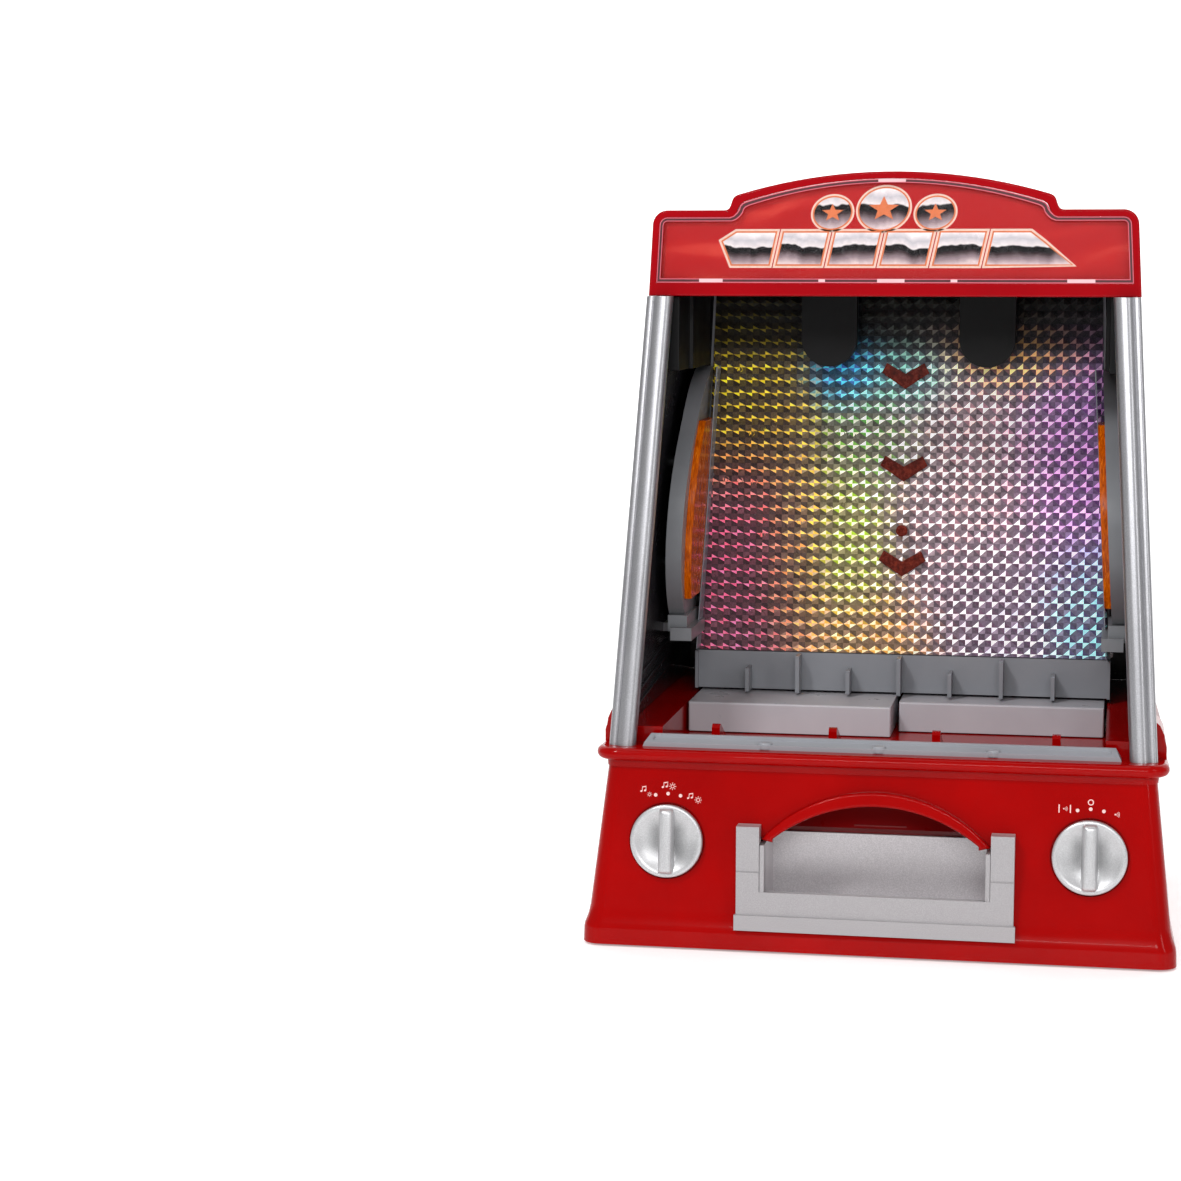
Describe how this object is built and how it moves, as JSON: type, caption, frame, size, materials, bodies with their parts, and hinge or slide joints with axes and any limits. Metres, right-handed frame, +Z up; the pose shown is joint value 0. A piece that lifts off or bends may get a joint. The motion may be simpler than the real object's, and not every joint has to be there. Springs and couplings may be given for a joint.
{
  "type": "coin pusher machine",
  "caption": "Table-top coin pusher toy: red base with prize drawer and knobs, leaning posts, peg board, two opposed pushers and an arched lit header.",
  "frame": {"origin": "centre of the footprint, on the surface that the feet stand on", "axes": "+X to the right of a player who faces the machine, +Y from the front to the back, +Z up"},
  "size_m": [0.2694, 0.24, 0.3544],
  "materials": {
    "red_shell": "gloss red moulded plastic",
    "black_plastic": "fine satin texture",
    "dark_panel": "satin",
    "gray_plastic": "satin moulded",
    "silver_paint": "silver paint with fine metallic flake",
    "pusher_gray": "semi gloss",
    "hologram_foil": "prismatic foil of square facets",
    "clear_plastic": "clear moulded plastic",
    "smoked_lens": "dark red brown translucent",
    "amber_lens": "amber translucent",
    "printed_sign": "gloss printed card",
    "rubber": "matt",
    "steel": "zinc plated",
    "battery_wrap": "plain wrap",
    "speaker_black": "paper cone and basket",
    "circuit_board": "solder mask",
    "led_lens": "clear led",
    "gear_nylon": "natural nylon",
    "motor_metal": "plated can"
  },
  "bodies": {
    "cabinet": {"back_cover": "dark_panel", "back_cover_screws": "steel", "base_bottom_plate": "black_plastic", "base_deck_shell": "red_shell", "base_lower_shell": "red_shell", "base_screws": "steel", "batteries": "battery_wrap", "battery_box": "black_plastic", "battery_door": "black_plastic", "centre_peg": "smoked_lens", "chevron_lenses": "smoked_lens", "chute_brackets": "black_plastic", "corner_gusset_left": "black_plastic", "corner_gusset_right": "black_plastic", "drawer_guides": "black_plastic", "front_trim_strip": "gray_plastic", "gear_motor": "motor_metal", "header_bezel": "red_shell", "header_led_board": "circuit_board", "header_leds": "led_lens", "header_lens": "clear_plastic", "header_sign_panel": "printed_sign", "hologram_sheet": "hologram_foil", "lane_divider_panel": "gray_plastic", "light_housing_left": "gray_plastic", "light_housing_right": "gray_plastic", "light_lens_left": "amber_lens", "light_lens_right": "amber_lens", "main_pcb": "circuit_board", "mechanism_axles": "steel", "mechanism_plate": "black_plastic", "peg_sheet": "clear_plastic", "playfield_board": "gray_plastic", "post_left": "silver_paint", "post_right": "silver_paint", "roof_cap": "red_shell", "rubber_feet": "rubber", "side_panel_left": "dark_panel", "side_panel_right": "dark_panel", "speaker": "speaker_black", "switch_housing_left": "black_plastic", "switch_housing_right": "black_plastic", "win_chute_ramp": "red_shell"},
    "pusher_left": {"pusher_left": "pusher_gray"},
    "pusher_right": {"pusher_right": "pusher_gray"},
    "rocker": {"rocker_arm": "gear_nylon", "rocker_pins": "steel"},
    "crank": {"crank_gear": "gear_nylon", "crank_pin": "steel"},
    "pinion": {"drive_pinion": "gear_nylon"},
    "chute_left": {"coin_chute_left": "black_plastic"},
    "chute_right": {"coin_chute_right": "black_plastic"},
    "knob_left": {"knob_left": "silver_paint"},
    "knob_right": {"knob_right": "silver_paint"},
    "switch_left": {"switch_slider_left": "gear_nylon"},
    "switch_right": {"switch_slider_right": "gear_nylon"},
    "drawer": {"prize_drawer": "silver_paint"}
  },
  "joints": [
    {"name": "pusher_left_slide", "type": "slide", "parent": "cabinet", "child": "pusher_left", "axis": [0, -1, 0], "range_m": [-0.02, 0.002]},
    {"name": "pusher_right_slide", "type": "slide", "parent": "cabinet", "child": "pusher_right", "axis": [0, -1, 0], "range_m": [-0.002, 0.02]},
    {"name": "rocker_turn", "type": "hinge", "parent": "cabinet", "child": "rocker", "pos_m": [0, 0.048, 0.104], "axis": [0, 0, 1], "range_deg": [-26, 3]},
    {"name": "crank_spin", "type": "hinge", "parent": "cabinet", "child": "crank", "pos_m": [0, 0.076, 0.1097], "axis": [0, 0, 1], "continuous": true},
    {"name": "pinion_spin", "type": "hinge", "parent": "cabinet", "child": "pinion", "pos_m": [-0.02435, 0.076, 0.1097], "axis": [0, 0, 1], "continuous": true},
    {"name": "chute_left_swing", "type": "hinge", "parent": "cabinet", "child": "chute_left", "pos_m": [-0.0364, 0.0165, 0.318], "axis": [0, 1, 0], "range_deg": [-22, 22]},
    {"name": "chute_right_swing", "type": "hinge", "parent": "cabinet", "child": "chute_right", "pos_m": [0.0404, 0.0165, 0.318], "axis": [0, 1, 0], "range_deg": [-22, 22]},
    {"name": "knob_left_turn", "type": "hinge", "parent": "cabinet", "child": "knob_left", "pos_m": [-0.0955, -0.1118, 0.0493], "axis": [0, -0.9931, 0.1172], "range_deg": [-15.5, 15.5]},
    {"name": "knob_right_turn", "type": "hinge", "parent": "cabinet", "child": "knob_right", "pos_m": [0.0955, -0.1118, 0.0493], "axis": [0, -0.9931, 0.1172], "range_deg": [-15.5, 15.5]},
    {"name": "switch_left_slide", "type": "slide", "parent": "cabinet", "child": "switch_left", "axis": [1, 0, 0], "range_m": [-0.0023, 0.0023]},
    {"name": "switch_right_slide", "type": "slide", "parent": "cabinet", "child": "switch_right", "axis": [1, 0, 0], "range_m": [-0.0023, 0.0023]},
    {"name": "drawer_slide", "type": "slide", "parent": "cabinet", "child": "drawer", "axis": [0, -1, 0], "range_m": [0, 0.036]}
  ],
  "couplings": [
    {"joint": "pusher_right_slide", "follows": "pusher_left_slide", "ratio": -1},
    {"joint": "rocker_turn", "follows": "pusher_left_slide", "rad_per_m": 22.42},
    {"joint": "pinion_spin", "follows": "crank_spin", "ratio": -3},
    {"joint": "switch_left_slide", "follows": "knob_left_turn", "m_per_rad": -0.008},
    {"joint": "switch_right_slide", "follows": "knob_right_turn", "m_per_rad": -0.008}
  ]
}
